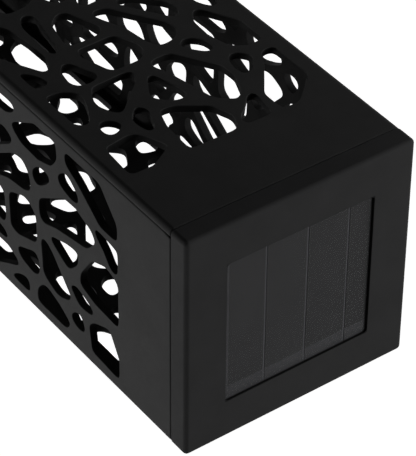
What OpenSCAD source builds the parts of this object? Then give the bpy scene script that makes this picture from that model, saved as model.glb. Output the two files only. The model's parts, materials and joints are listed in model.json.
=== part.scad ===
// Solar spike light: a square perforated shade with a solar head on top and a ground spike below.
// Millimetres. +Z is up, the ground line is z = 0, and the photographed bright side faces -Y.

/* [Overall] */
// Outside width of the square lamp
width = 65; // [63:1:80]
// Height of the four perforated panels
shade_h = 190; // [160:5:240]
// Height of the cap above the seam
cap_h = 6; // [5:0.5:9]
// Radius of the upright corners of the cap and the base
corner_r = 1.25; // [0.5:0.25:2]
// Radius of the upright corners of the shade
shade_r = 1.5; // [0.3:0.1:1.6]

/* [Panels] */
// Thickness of a panel
panel_t = 2; // [1.9:0.1:2.8]
// Solid band above the holes
top_band = 21; // [20:1:30]
// Solid band below the holes
bottom_band = 11; // [11:1:20]
// Solid margin beside the edge that butts against the next panel
butt_margin = 3; // [1.5:0.5:5]
// Solid margin beside the edge that laps over the next panel
lap_margin = 4; // [3:0.5:7]
// Radius in the corners of the holes
hole_r = 1.2; // [0.6:0.2:1.4]
// Width of the relief at the head of the butt edge
relief_w = 0.5; // [0.3:0.1:1]
// Height of that relief
relief_h = 2.4; // [1:0.2:4]
// Diameter of the screw bosses on the back of a panel
boss_d = 5; // [4.5:0.25:5.5]
// Height of those bosses
boss_h = 1.5; // [1:0.1:1.6]
// Distance between the two bosses of a row
boss_spacing = 36; // [30:1:40]

/* [Screws] */
// Diameter of the panel screws
screw_d = 2; // [1.8:0.1:2.4]
// Diameter of their heads
head_d = 5.8; // [5.6:0.1:6.2]
// Height of their heads
head_t = 1.4; // [1:0.1:1.5]
// Depth that a screw bites into the flat of a panel
bite = 1.5; // [1:0.1:1.6]

/* [Collar] */
// Wall of the collar inside the top of the shade
collar_t = 1.8; // [1.7:0.1:2]
// Height of the collar
collar_h = 16; // [14:1:17]
// Thickness of the foam gasket between collar and cap
gasket_t = 2; // [1.5:0.25:3]

/* [Cap] */
// Depth of the solar window, which is the thickness of the lip over the solar panel
window_depth = 0.6; // [0.5:0.1:1.5]
// Width of the solar window
window_w = 42; // [38:1:44]
// Radius in the corners of the window
window_r = 1; // [0.5:0.25:4]
// Wall of the skirt that fits inside the collar
skirt_t = 1.6; // [1.4:0.1:1.7]
// How far the skirt hangs below the seam
skirt_drop = 7; // [5:0.5:7.5]

/* [Solar panel] */
// Width of the square circuit board that carries the cells
board_w = 48; // [46:0.5:48.5]
// How far that board sits off centre, towards the back
board_shift = 2.5; // [0:0.25:4]
// Thickness of the board
board_t = 1; // [0.8:0.1:1.6]
// Thickness of the clear cover over the board
cover_t = 0.4; // [0.4:0.1:1.4]
// Thickness of a cell
cell_t = 0.2; // [0.15:0.05:0.3]
// Number of cell strips
cell_count = 4; // [3:1:6]
// Gap between two strips
cell_gap = 0.5; // [0.4:0.1:1.2]
// Width of the tinned ribbons across the right ends of the strips
end_ribbon = 6.25; // [3:0.25:8]
// Width of the ribbon along the outer edge of the first strip
side_ribbon = 1.2; // [0.8:0.1:2]

/* [Housing] */
// How far the electronics housing reaches below the seam
housing_drop = 19; // [18:0.5:20]
// Wall of the housing
housing_wall = 1.5; // [1.2:0.1:1.6]
// Diameter of the lens hole in its floor
lens_hole_d = 15.2; // [14.6:0.1:15.6]
// Distance from the light's centre to the battery's centre line
battery_y = 15.5; // [15.5:0.1:16]
// Distance from the light's centre to the switch
switch_y = 17; // [16:0.5:18]

/* [Battery] */
// Diameter of the rechargeable cell
battery_d = 10.5; // [10.2:0.1:10.5]
// Length of the cell with its button
battery_len = 44.5; // [43.5:0.5:45]

/* [Spike] */
// Length of the spike below the ground line
spike_len = 150; // [110:5:190]
// Width across the blades
blade_w = 24; // [18:1:30]
// Thickness of a blade
blade_t = 3; // [2:0.25:4]
// Diameter of the plug that goes into the base
plug_d = 14.6; // [12:0.2:18]
// Height of the plug
plug_h = 20; // [14:1:24]
// Diameter of the flange let into the underside of the base
flange_d = 32; // [31:1:44]
// Thickness of that flange
flange_t = 2; // [1.5:0.25:2.5]

/* [Hidden] */
$fn = 48;

// Clearances
slide_gap = 0.2;
play = 0.15;

// Levels of the shade, from the ground line up
base_t = 4;
seam_z = base_t + shade_h;
top_z = seam_z + cap_h;
collar_top = seam_z - gasket_t;
collar_z = collar_top - collar_h;
upstand_h = 10;
screw_up = 5;

// Half widths, from the outside in
half = width / 2;
inner = half - panel_t;
collar_in = inner - collar_t;
skirt_out = collar_in - slide_gap;
skirt_in = skirt_out - skirt_t;
housing_out = skirt_in - slide_gap;
housing_in = housing_out - housing_wall;

// How far a rib, a post or a cut starts inside its neighbour
sink = 0.5;

// Levels of the head
cover_top = top_z - window_depth;
board_top = cover_top - cover_t;
board_z = board_top - board_t;
housing_z = seam_z - housing_drop;
floor_z = housing_z + housing_wall;

// The panel's field of holes. The outlines are drawn from its upper left corner, to the right and down,
// in a field of drawn_w by drawn_h, and follow the real field's size.
drawn_w = 56;
drawn_h = 158;
field_w = width - panel_t - butt_margin - lap_margin;
field_h = shade_h - top_band - bottom_band;
panel_w = width - panel_t;

// Corners of the holes in the upper half of a panel. The lower half is the same pattern turned half round.
HOLES = [
    [[0, 7], [8, 0], [13, 0], [13, 7], [6, 16.5], [3.5, 21.2], [0, 21.2]],
    [[15.8, 0], [23.2, 0], [23.3, 2.8], [20, 5.4], [16.5, 9.2], [14.6, 9]],
    [[25.6, 0], [39.4, 0], [38.8, 10], [36.8, 16.2], [33, 15.6], [26, 10.8], [23.9, 5]],
    [[42.6, 4], [49.5, 0], [56, 0], [55.2, 11.6], [47.2, 12.7], [45, 10]],
    [[6, 20.8], [9.8, 16], [12.6, 16], [12.7, 19.5], [11.4, 24.3], [8.8, 24.3]],
    [[19.3, 9], [23.6, 12.7], [26.4, 26], [28.3, 31.5], [27.3, 33.2], [21.8, 33.2], [14.6, 22],
     [14.4, 17], [16.8, 11]],
    [[27.6, 16.5], [31.6, 17], [35.8, 21], [31.4, 29], [30, 27.5], [28.2, 21.5]],
    [[41.3, 11], [43.6, 10.8], [44.2, 16.6], [41, 20.2], [39.8, 19.8], [38.8, 17.5]],
    [[46.7, 16.4], [50.3, 14.3], [52.2, 15.4], [51.8, 19], [50, 20.7], [47.9, 19]],
    [[43.6, 20.8], [45.3, 20.3], [47.4, 25], [47.3, 27.5], [45, 32.5], [34.5, 33], [33, 31.3], [35.6, 27.7]],
    [[53.2, 20.5], [56, 23], [56, 35.8], [51.5, 35.2], [48.5, 32.5], [48.6, 29.8], [50, 26]],
    [[0, 25], [4.8, 24.7], [8.3, 27.3], [10, 33], [9.6, 40], [7.4, 44], [5.6, 44], [0, 34.2]],
    [[11.7, 28.3], [14.2, 28.3], [18.2, 33.3], [17.2, 35.4], [14.7, 35.8], [12, 33]],
    [[17.4, 37.3], [22, 36.6], [23.6, 40], [24.6, 47], [28.4, 56.5], [26.6, 58.3], [23.5, 57],
     [15.3, 44.5], [14.4, 40]],
    [[28.5, 35], [37, 34.8], [40, 43.5], [39.4, 46.8], [28.8, 47], [25.9, 40.5], [26.1, 37.8]],
    [[41.6, 34.4], [46.7, 34.2], [48, 37], [47.2, 41.5], [45.2, 44.8], [43.5, 42.8], [40.6, 36.2]],
    [[10.9, 44], [13.2, 45.5], [20.8, 57], [19.5, 59], [15.5, 57.4], [10.4, 51.5], [9.2, 48]],
    [[0, 42.6], [2.3, 43], [4.2, 46.5], [4.6, 51], [4, 54], [0, 54]],
    [[6.2, 51], [7.6, 50.2], [8.6, 53.2], [13, 58], [12.3, 61], [8, 61.6], [6, 57]],
    [[30, 49.2], [39.6, 48.8], [40.2, 51], [38.4, 59.3], [35.3, 61.8], [33, 61.6], [29.4, 52.5]],
    [[42.8, 48.8], [45.2, 48.6], [45.4, 53], [44.9, 62], [43.3, 65.8], [40.8, 66], [40, 63.5], [41.2, 58]],
    [[49.3, 43.2], [51, 44.8], [56, 54], [56, 66.4], [50.5, 68], [48, 63], [47.1, 56], [47, 48.5]],
    [[51.5, 39.5], [56, 38.8], [56, 46.5], [54.8, 46.5], [52.8, 43.5]],
    [[36, 70.8], [39.5, 69], [44.8, 68.6], [48.5, 75.3], [43, 80.3], [38.4, 75.2]],
    [[29.5, 65.7], [33.2, 65.8], [34.3, 70], [35.8, 75], [31, 79], [26.5, 76.2], [25.6, 70.7]],
    [[21.5, 61.5], [27.7, 60.7], [28.4, 63], [25.8, 67.8], [22, 70.4], [19.2, 67.5]],
    [[0, 57], [3.8, 56.8], [4.8, 62.5], [3.6, 66], [0, 66.3]],
    [[9.2, 64.2], [13.3, 63], [15, 60.8], [18.3, 62.2], [17, 66.2], [12, 69.6]],
    [[12.6, 72.2], [17.8, 68.8], [21.5, 73], [23.5, 76.2], [19, 80], [14.6, 75.4]],
    [[0, 69.2], [4.8, 68.8], [7.3, 65.5], [11.6, 74.8], [6, 79.3], [0, 76.3]],
    [[50.4, 71], [56, 69.4], [56, 78.2], [51.8, 75.7]],
];

// Points along a rounded corner at b, between the edges from a and to c
round_steps = 2;
edge_share = 0.45;
function unit(v) = v / norm(v);
function corner(a, b, c, r) =
    let (u = unit(a - b), w = unit(c - b),
         turn = acos(u * w) / 2,
         t = min(r / tan(turn), edge_share * norm(a - b), edge_share * norm(c - b)),
         rr = t * tan(turn),
         mid = b + unit(u + w) * rr / sin(turn),
         from = b + u * t - mid, to = b + w * t - mid,
         start = atan2(from.y, from.x),
         sweep = (atan2(to.y, to.x) - start + 540) % 360 - 180)
    [for (i = [0 : round_steps]) mid + rr * [cos(start + sweep * i / round_steps),
                                             sin(start + sweep * i / round_steps)]];
function rounded(p, r) =
    let (n = len(p))
    [for (i = [0 : n - 1]) each corner(p[(i + n - 1) % n], p[i], p[(i + 1) % n], r)];

// One drawn hole, placed in the panel's own plane: x along the panel, y up from its foot
function placed(hole) = [for (p = hole) [butt_margin + p.x * field_w / drawn_w,
                                         shade_h - top_band - p.y * field_h / drawn_h]];
function turned(hole) = [for (p = hole) [drawn_w - p.x, drawn_h - p.y]];

module square_ring(outer, inner, h) {
    linear_extrude(h) difference() {
        square(2 * outer, center = true);
        square(2 * inner, center = true);
    }
}

module rounded_square(w, r, h) {
    linear_extrude(h) rounded_outline(w, r);
}

module rounded_outline(w, r) {
    square([w - 2 * r, w], center = true);
    square([w, w - 2 * r], center = true);
    for (x = [-1, 1], y = [-1, 1]) translate([x, y] * (w / 2 - r)) circle(r);
}

// Puts its children on each of the four sides, as if drawn for the front
module four_sides() {
    for (i = [0 : 3]) rotate(90 * i) children();
}

// Bosses and the screws in them stand two to a row, one row near the foot and one near the head of a side
low_row_z = base_t + screw_up;
high_row_z = collar_z + screw_up;
module boss_places() {
    for (s = [-1, 1]) translate([s * boss_spacing / 2, 0, 0]) children();
}

// A panel as it stands on the front side, from its butt edge on the left to its lap edge on the right
module perforated_plate() {
    translate([-inner, -inner, base_t]) rotate([90, 0, 0]) linear_extrude(panel_t) difference() {
        square([panel_w, shade_h]);
        polygon([[0, shade_h], [relief_w, shade_h], [0, shade_h - relief_h]]);
        for (hole = HOLES) {
            polygon(rounded(placed(hole), hole_r));
            polygon(rounded(placed(turned(hole)), hole_r));
        }
    }
}
module panel() {
    difference() {
        union() {
            intersection() {
                perforated_plate();
                translate([0, 0, base_t - 1]) rounded_square(width, shade_r, shade_h + 2);
            }
            for (z = [low_row_z, high_row_z]) boss_places()
                translate([0, -inner, z]) rotate([-90, 0, 0]) cylinder(d = boss_d, h = boss_h);
        }
        for (z = [low_row_z, high_row_z]) boss_places()
            translate([0, -inner - bite, z]) rotate([-90, 0, 0]) cylinder(d = screw_d, h = bite + boss_h + 1);
    }
}
module front_panel() { color("#343434") panel(); }
module right_panel() { color("#343434") rotate(90) panel(); }
module back_panel() { color("#343434") rotate(180) panel(); }
module left_panel() { color("#343434") rotate(270) panel(); }

// Pan head screws driven outwards from inside the shade
module side_screws(z) {
    four_sides() boss_places() translate([0, -collar_in, z]) rotate([-90, 0, 0]) {
        cylinder(d = head_d, h = head_t);
        translate([0, 0, -collar_t - bite]) cylinder(d = screw_d, h = collar_t + bite);
    }
}
module boss_holes(z) {
    four_sides() boss_places() translate([0, -inner - 1, z]) rotate([-90, 0, 0])
        cylinder(d = boss_d + 2 * play, h = collar_t + 2);
}
module base_screws() { color("#b9bcbe") side_screws(low_row_z); }
module collar_screws() { color("#b9bcbe") side_screws(high_row_z); }

// Square ring inside the top of the shade that the four panels are screwed to
module collar() {
    color("#2b2b2b") difference() {
        translate([0, 0, collar_z]) square_ring(inner, collar_in, collar_h);
        boss_holes(high_row_z);
    }
}

// Floor of the shade, with the upstand for the panels, the socket for the spike and a recess for its flange
socket_wall = 2.2;
socket_top = 1.8;
socket_r = plug_d / 2 + play + socket_wall;
recess_r = flange_d / 2 + play;
drain_d = 4;
drain_place = (recess_r + collar_in) / 2;
gusset_t = 2;
gusset_foot_h = 2;
module base_plate() {
    socket_h = plug_h + 1 + socket_top;
    gusset_h = socket_h - base_t - gusset_foot_h;
    color("#2b2b2b") difference() {
        union() {
            rounded_square(width, corner_r, base_t);
            translate([0, 0, base_t - 1]) square_ring(inner, collar_in, upstand_h + 1);
            cylinder(r = socket_r, h = socket_h);
            for (a = [45 : 90 : 315]) rotate(a) translate([0, gusset_t / 2, base_t - 1])
                rotate([90, 0, 0]) linear_extrude(gusset_t)
                    polygon([[0, 0], [2 * socket_r, 0], [2 * socket_r, gusset_foot_h],
                             [socket_r + 1, gusset_h], [0, gusset_h]]);
        }
        boss_holes(low_row_z);
        translate([0, 0, -1]) cylinder(d = plug_d + 2 * play, h = plug_h + 2);
        translate([0, 0, -1]) cylinder(r = recess_r, h = flange_t + 1);
        for (a = [0 : 90 : 270]) rotate(a) translate([drain_place, 0, -1])
            cylinder(d = drain_d, h = base_t + 2);
    }
}

// Ground spike: a plug, a flange and a cross of two tapering blades
plug_chamfer = 1;
shoulder = 22;
tip_w = 1.6;
module blade() {
    translate([0, blade_t / 2, 0]) rotate([90, 0, 0]) linear_extrude(blade_t)
        polygon([[-blade_w / 2, 0], [blade_w / 2, 0], [blade_w / 2, -shoulder], [tip_w / 2, -spike_len],
                 [-tip_w / 2, -spike_len], [-blade_w / 2, -shoulder]]);
}
module spike() {
    color("#2b2b2b") union() {
        blade();
        rotate(90) blade();
        cylinder(d = flange_d, h = flange_t);
        translate([0, 0, flange_t / 2]) cylinder(d = plug_d, h = plug_h - plug_chamfer - flange_t / 2);
        translate([0, 0, plug_h - plug_chamfer])
            cylinder(d1 = plug_d, d2 = plug_d - 2 * plug_chamfer, h = plug_chamfer);
    }
}

// Foam ring that seals the cap on the collar
module cap_gasket() {
    color("#1d1d1d") translate([0, 0, collar_top])
        square_ring(inner - slide_gap, collar_in + slide_gap, gasket_t);
}

// Cap: the solar window in its top with a pocket for the panel behind it, and a skirt below the seam with
// four windows for the housing's lugs. Its plate is as thick as the window's lip and the solar panel, so that
// the housing's rim seats on both.
lug_w = 8;
lug_h = 2;
lug_up = 3;
lug_z = seam_z - skirt_drop + lug_up;
module cap() {
    color("#282828") difference() {
        union() {
            translate([0, 0, seam_z]) rounded_square(width, corner_r, cap_h);
            translate([0, 0, seam_z - skirt_drop]) linear_extrude(skirt_drop + 1)
                square(2 * skirt_out, center = true);
        }
        translate([0, 0, seam_z - skirt_drop - 1]) linear_extrude(skirt_drop + 1 + board_z - seam_z)
            square(2 * skirt_in, center = true);
        translate([0, board_shift, board_z - sink]) linear_extrude(cover_top - board_z + sink)
            square(board_w + 2 * play, center = true);
        translate([0, 0, cover_top - sink]) rounded_square(window_w, window_r, window_depth + 2);
        four_sides() translate([-lug_w / 2 - play, -skirt_out - 1, lug_z - play])
            cube([lug_w + 2 * play, skirt_t + 2, lug_h + 2 * play]);
    }
}

// Solar panel: a board with strips of cells under one clear cover. Tinned ribbons lie across the right ends
// of the strips and along the outer edge of the first one.
cell_pitch = (board_w - cell_gap) / cell_count;
cell_x = board_w / 2 - cell_gap;
cell_y = board_shift - cell_x;
module strip_area(h) {
    for (i = [0 : cell_count - 1]) translate([-cell_x, cell_y + i * cell_pitch, board_top])
        cube([2 * cell_x, cell_pitch - cell_gap, h]);
}
module ribbon_area() {
    translate([0, cell_y - 1, board_top - 1]) {
        translate([cell_x - end_ribbon, 0, 0]) cube([end_ribbon + 1, board_w, cell_t + 2]);
        translate([-cell_x - 1, 0, 0]) cube([board_w, side_ribbon + 1, cell_t + 2]);
    }
}
module solar_board() {
    color("#4a4d50") translate([-board_w / 2, board_shift - board_w / 2, board_z])
        cube([board_w, board_w, board_t]);
}
module solar_cells() {
    color("#2a2b31") difference() {
        strip_area(cell_t);
        ribbon_area();
    }
}
module bus_ribbons() {
    color("#3a3b40") intersection() {
        strip_area(cell_t);
        ribbon_area();
    }
}
module solar_cover() {
    color([0.2, 0.2, 0.22, 0.5]) difference() {
        translate([-board_w / 2, board_shift - board_w / 2, board_top])
            cube([board_w, board_w, cover_t]);
        translate([0, 0, -cell_t]) strip_area(2 * cell_t);
    }
}

// Housing: a tub below the solar board, with the battery bay on the front side and the lens in the middle.
// Its ribs and posts start a little inside what carries them.
bay_wall = 1.2;
bay_gap = 0.6;
bay_half = battery_d / 2 + bay_gap;
battery_z = floor_z + battery_d / 2;
bay_top = battery_z + battery_d / 2 + 1;
opening_inset = 1.6;
opening_half_x = housing_in - opening_inset;
opening_y = [-battery_y - bay_half, -battery_y + bay_half];
post_d = 5;
post_x = 17;
post_y = 11;
post_h = 9.6;
pilot_floor = 2;
pcb_z = floor_z + post_h;
pcb_t = 1.2;
pcb_top = pcb_z + pcb_t;
pcb_half_x = 21;
pcb_y = [-7, 20];
stem = 3;
travel = 3;
slot_half = [stem / 2 + travel / 2 + slide_gap + 0.1, stem / 2 + slide_gap];
lug_out = 0.9;
module post_places() {
    for (s = [-1, 1]) translate([s * post_x, post_y, 0]) children();
}

// Door hinge below the front edge of the housing's floor
pin_d = 1.5;
pin_play = 0.05;
knuckle_r = 1.6;
hinge_y = opening_y[0] - knuckle_r - 0.3;
hinge_z = housing_z - knuckle_r - 0.5;
ear_x = 16;
ear_t = 3;
module hinge_bore(d) {
    translate([-housing_in, hinge_y, hinge_z]) rotate([0, 90, 0]) cylinder(d = d, h = 2 * housing_in);
}
module hinge_ear() {
    translate([0, 0, hinge_z]) rotate([0, 90, 0]) cylinder(r = knuckle_r, h = ear_t);
    translate([0, -knuckle_r, hinge_z]) cube([ear_t, 2 * knuckle_r, housing_z - hinge_z + sink]);
}
module housing() {
    color("#303030") difference() {
        union() {
            translate([0, 0, housing_z]) linear_extrude(housing_wall) square(2 * housing_out, center = true);
            translate([0, 0, housing_z]) square_ring(housing_out, housing_in, board_z - housing_z);
            for (y = [opening_y[0] - bay_wall, opening_y[1]])
                translate([-housing_in - sink, y, floor_z - sink])
                    cube([2 * (housing_in + sink), bay_wall, bay_top - floor_z + sink]);
            post_places() translate([0, 0, floor_z - sink]) cylinder(d = post_d, h = post_h + sink);
            four_sides() translate([-lug_w / 2, -housing_out - lug_out, lug_z])
                cube([lug_w, lug_out + housing_wall / 2, lug_h]);
            for (s = [-1, 1]) translate([s * ear_x - ear_t / 2, hinge_y, 0]) hinge_ear();
        }
        translate([-opening_half_x, opening_y[0], housing_z - 1])
            cube([2 * opening_half_x, opening_y[1] - opening_y[0], housing_wall + 2]);
        translate([0, 0, housing_z - 1]) cylinder(d = lens_hole_d, h = housing_wall + 2);
        translate([-slot_half.x, switch_y - slot_half.y, housing_z - 1])
            cube([2 * slot_half.x, 2 * slot_half.y, housing_wall + 2]);
        post_places() translate([0, 0, floor_z + pilot_floor]) cylinder(d = screw_d, h = post_h);
        hinge_bore(pin_d);
    }
}

// Door under the battery, which swings down about the pin in the housing's two ears. Two ribs hold the
// cell, two tongues catch the opening's edge, and a lip takes a fingernail.
door_gap = 0.2;
door_t = 1.5;
door_inset = 0.6;
door_half_x = housing_in - door_inset;
door_top = housing_z - door_gap;
door_y = [hinge_y + knuckle_r + 0.4, opening_y[1] + 1.2];
lip_w = 12;
lip_t = 1.2;
lip_drop = 1.6;
rib_x = 14;
rib_t = 1.5;
rib_len = 6;
rib_h = 1.4;
tongue_x = 8;
tongue_w = 4;
tongue_t = 1.2;
tongue_y = opening_y[1] - 0.8;
ear_gap = 0.3;
knuckle_len = 2 * (ear_x - ear_t / 2 - ear_gap);
module battery_door() {
    color("#303030") difference() {
        union() {
            translate([-door_half_x, door_y[0], door_top - door_t])
                cube([2 * door_half_x, door_y[1] - door_y[0], door_t]);
            translate([-knuckle_len / 2, hinge_y, door_top - door_t])
                cube([knuckle_len, knuckle_r + 1, door_t]);
            translate([-knuckle_len / 2, hinge_y, hinge_z]) rotate([0, 90, 0])
                cylinder(r = knuckle_r, h = knuckle_len);
            translate([-lip_w / 2, door_y[1] - lip_t, door_top - door_t - lip_drop])
                cube([lip_w, lip_t, lip_drop + door_t / 2]);
            for (s = [-1, 1]) {
                translate([s * rib_x - rib_t / 2, -battery_y - rib_len / 2, door_top - sink])
                    cube([rib_t, rib_len, rib_h + sink]);
                translate([s * tongue_x - tongue_w / 2, tongue_y - tongue_t, door_top - sink])
                    cube([tongue_w, tongue_t, housing_wall + sink]);
            }
        }
        hinge_bore(pin_d + 2 * pin_play);
    }
}
module hinge_pin() {
    pin_len = 2 * (ear_x + ear_t / 2);
    color("#b9bcbe") translate([-pin_len / 2, hinge_y, hinge_z]) rotate([0, 90, 0])
        cylinder(d = pin_d, h = pin_len);
}

// Rechargeable cell lying across the light, its button towards +X
contact_t = 0.4;
dimple = 0.9;
dimple_d = [2.4, 4];
button_x = housing_in - contact_t - dimple;
battery_x = button_x - battery_len;
nub_h = 1.2;
nub_d = 3.8;
module battery_cell() {
    color("#3f8f4a") translate([battery_x, -battery_y, battery_z]) rotate([0, 90, 0]) {
        cylinder(d = battery_d, h = battery_len - nub_h);
        translate([0, 0, battery_len - nub_h - sink]) cylinder(d = nub_d, h = nub_h + sink);
    }
}
contact_w = 8;
contact_top = bay_top + 1;
module contact_plate(x) {
    translate([x, -battery_y - contact_w / 2, floor_z]) cube([contact_t, contact_w, contact_top - floor_z]);
}
module button_contact() {
    color("#d8d8d4") union() {
        contact_plate(housing_in - contact_t);
        translate([button_x, -battery_y, battery_z]) rotate([0, 90, 0])
            cylinder(d1 = dimple_d[0], d2 = dimple_d[1], h = dimple);
    }
}

// Conical coil on its plate: rings of points swept along the turns
spring_wire = 0.5;
spring_turns = 3;
spring_r = [3.9, 2.4];
ring_sides = 6;
turn_steps = 12;
spring_steps = spring_turns * turn_steps;
spring_x0 = -housing_in + contact_t;
spring_len = battery_x - spring_x0;
function coil_point(t) =
    let (r = spring_r[0] + (spring_r[1] - spring_r[0]) * t, a = 360 * spring_turns * t)
    [spring_wire / 2 + (spring_len - spring_wire) * t, r * cos(a), r * sin(a)];
function coil_ring(t) =
    let (c = coil_point(t), a = 360 * spring_turns * t, out = [0, cos(a), sin(a)])
    [for (k = [0 : ring_sides - 1]) c + spring_wire / 2 * (cos(360 * k / ring_sides) * out
                                                         + sin(360 * k / ring_sides) * [1, 0, 0])];
module coil() {
    n = spring_steps;
    points = [for (i = [0 : n]) each coil_ring(i / n)];
    sides = [for (i = [0 : n - 1], k = [0 : ring_sides - 1])
             let (a = i * ring_sides + k, b = i * ring_sides + (k + 1) % ring_sides)
             each [[a, b, b + ring_sides], [a, b + ring_sides, a + ring_sides]]];
    ends = [for (k = [1 : ring_sides - 2])
            each [[0, k + 1, k], [n * ring_sides, n * ring_sides + k, n * ring_sides + k + 1]]];
    translate([spring_x0, -battery_y, battery_z]) polyhedron(points, concat(sides, ends));
}
module spring_contact() {
    color("#d8d8d4") {
        contact_plate(-housing_in);
        coil();
    }
    // Least gap between one turn of the coil and the next ones
    n = spring_steps;
    echo(coil_gap = min([for (i = [0 : n], j = [i + turn_steps / 2 : 1 : n])
                         norm(coil_point(i / n) - coil_point(j / n)) - spring_wire]));
}

// Circuit board on the housing's posts, and what is soldered to it
module circuit_board() {
    color("#2f6b46") difference() {
        translate([-pcb_half_x, pcb_y[0], pcb_z]) cube([2 * pcb_half_x, pcb_y[1] - pcb_y[0], pcb_t]);
        post_places() translate([0, 0, pcb_z - 1]) cylinder(d = screw_d, h = pcb_t + 2);
    }
}
board_screw_len = 5;
board_head_d = 4;
board_head_t = 1.2;
module board_screws() {
    color("#b9bcbe") post_places() {
        translate([0, 0, pcb_top]) cylinder(d = board_head_d, h = board_head_t);
        translate([0, 0, pcb_top - board_screw_len]) cylinder(d = screw_d, h = board_screw_len);
    }
}
chip = [5, 4, 1.5];
chip_y = 12;
module driver_chip() {
    color("#1c1c1c") translate([-chip.x / 2, chip_y, pcb_top]) cube(chip);
}
choke_x = 9;
choke_y = 3;
choke_d = [6, 4.6];
choke_h = 4.4;
choke_flange = 0.8;
module choke_coil() {
    color("#5b4a3a") translate([choke_x, choke_y, pcb_top]) {
        cylinder(d = choke_d[0], h = choke_flange);
        cylinder(d = choke_d[1], h = choke_h);
        translate([0, 0, choke_h - choke_flange]) cylinder(d = choke_d[0], h = choke_flange);
    }
}
capacitor_d = 5;
capacitor_h = 5.5;
module capacitor() {
    color("#27406b") translate([-choke_x, choke_y, pcb_top]) cylinder(d = capacitor_d, h = capacitor_h);
}

// Lamp: a round LED hanging from the board into a domed lens
led_d = 5;
led_rim = 0.4;
led_base_t = 1;
led_reach = 6.1;
led_pitch = 2.54;
led_wire = 0.6;
led_base_z = pcb_z - led_base_t;
module led() {
    color("#f4f1e4") {
        translate([0, 0, led_base_z - led_base_t]) cylinder(d = led_d + 2 * led_rim, h = led_base_t);
        translate([0, 0, led_base_z - led_reach]) cylinder(d = led_d, h = led_reach - sink);
        translate([0, 0, led_base_z - led_reach]) sphere(d = led_d);
        for (s = [-1, 1]) translate([s * led_pitch / 2, 0, led_base_z - sink])
            cylinder(d = led_wire, h = led_base_t + sink);
    }
}
lens_wall = 1.2;
lens_rim = 0.8;
lens_drop = 6;
lens_gap = 0.1;
lens_r = lens_hole_d / 2 - lens_gap;
lens_bowl_z = -housing_wall - lens_drop / 2;
module lens() {
    color([0.92, 0.92, 0.88, 0.6]) translate([0, 0, floor_z]) rotate_extrude() difference() {
        union() {
            translate([0, lens_bowl_z]) square([lens_r, -lens_bowl_z]);
            square([lens_r + lens_rim, lens_wall]);
            translate([0, lens_bowl_z]) bowl_section(lens_r, lens_drop / 2);
        }
        translate([-1, lens_bowl_z]) square([lens_r - lens_wall + 1, lens_wall + 1 - lens_bowl_z]);
        translate([0, lens_bowl_z]) bowl_section(lens_r - lens_wall, lens_drop / 2 - lens_wall / 2);
    }
}
// Right half of a shallow bowl, r wide and h deep, with its rim on the x axis
module bowl_section(r, h) {
    bowl_r = (r * r + h * h) / (2 * h);
    intersection() {
        translate([0, bowl_r - h]) circle(bowl_r, $fn = 96);
        translate([0, -h - 1]) square([r, h + 1]);
    }
}

// Slide switch on the housing's floor, worked through a slot from below
shell = [12, 6.4, 4.6];
cavity = [9.2, 4.4, 2.4];
shell_floor = 0.8;
slide_block = [5.6, 4, 2];
knob = [5.2, 4.8, 1.5];
groove_w = 0.5;
groove_depth = 0.3;
module switch_body() {
    color("#8d9296") difference() {
        translate([-shell.x / 2, switch_y - shell.y / 2, floor_z]) cube(shell);
        translate([-cavity.x / 2, switch_y - cavity.y / 2, floor_z + shell_floor]) cube(cavity);
        translate([-slot_half.x, switch_y - slot_half.y, floor_z - 1])
            cube([2 * slot_half.x, 2 * slot_half.y, 2]);
    }
}
module switch_slider() {
    block_z = floor_z + shell_floor + slide_gap;
    knob_z = housing_z - slide_gap - knob.z;
    color("#1c1c1c") translate([-travel / 2, switch_y, 0]) {
        translate([-slide_block.x / 2, -slide_block.y / 2, block_z]) cube(slide_block);
        translate([-stem / 2, -stem / 2, knob_z + knob.z - groove_depth])
            cube([stem, stem, block_z + 1 - knob_z - knob.z + groove_depth]);
        difference() {
            translate([-knob.x / 2, -knob.y / 2, knob_z]) cube(knob);
            for (x = [-1.5, 0, 1.5]) translate([x - groove_w / 2, -knob.y / 2 - 1, knob_z - 1])
                cube([groove_w, knob.y + 2, 1 + groove_depth]);
        }
    }
}

// Insulated wires run straight from point to point, with round bends
wire_d = 1.2;
module wire(points) {
    for (i = [0 : len(points) - 2]) {
        run = points[i + 1] - points[i];
        translate(points[i]) rotate([0, acos(run.z / norm(run)), atan2(run.y, run.x)])
            cylinder(d = wire_d, h = norm(run), $fn = 24);
        if (i > 0) translate(points[i]) sphere(d = wire_d, $fn = 24);
    }
}
solar_lead_x = [4, 14];
solar_lead_y = [8, 2];
solar_lead_z = board_z - 3;
module solar_leads() {
    x = solar_lead_x;
    y = solar_lead_y;
    color("#a03028") for (s = [-1, 1])
        wire([[s * x[0], y[0], board_z], [s * x[0], y[0], solar_lead_z], [s * x[1], y[0], solar_lead_z],
              [s * x[1], y[1], solar_lead_z], [s * x[1], y[1], pcb_top]]);
}
battery_lead_x = [housing_in - wire_d, pcb_half_x - 2];
battery_lead_y = [-battery_y, pcb_y[0] + 3];
battery_lead_z = contact_top + 2;
module battery_leads() {
    x = battery_lead_x;
    y = battery_lead_y;
    z = battery_lead_z;
    color("#202020") for (s = [-1, 1])
        wire([[s * x[0], y[0], contact_top], [s * x[0], y[0], z], [s * x[0], y[1], z], [s * x[1], y[1], z],
              [s * x[1], y[1], pcb_top]]);
}

spike();
base_plate();
base_screws();
front_panel();
right_panel();
back_panel();
left_panel();
collar();
collar_screws();
cap_gasket();
cap();
solar_cover();
solar_cells();
bus_ribbons();
solar_board();
housing();
battery_cell();
spring_contact();
button_contact();
circuit_board();
board_screws();
driver_chip();
choke_coil();
capacitor();
led();
lens();
switch_body();
switch_slider();
solar_leads();
battery_leads();
battery_door();
hinge_pin();
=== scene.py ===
import json
from math import cos, pi, radians, sin, tau

import bmesh
import bpy
from mathutils import Matrix, Vector

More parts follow.
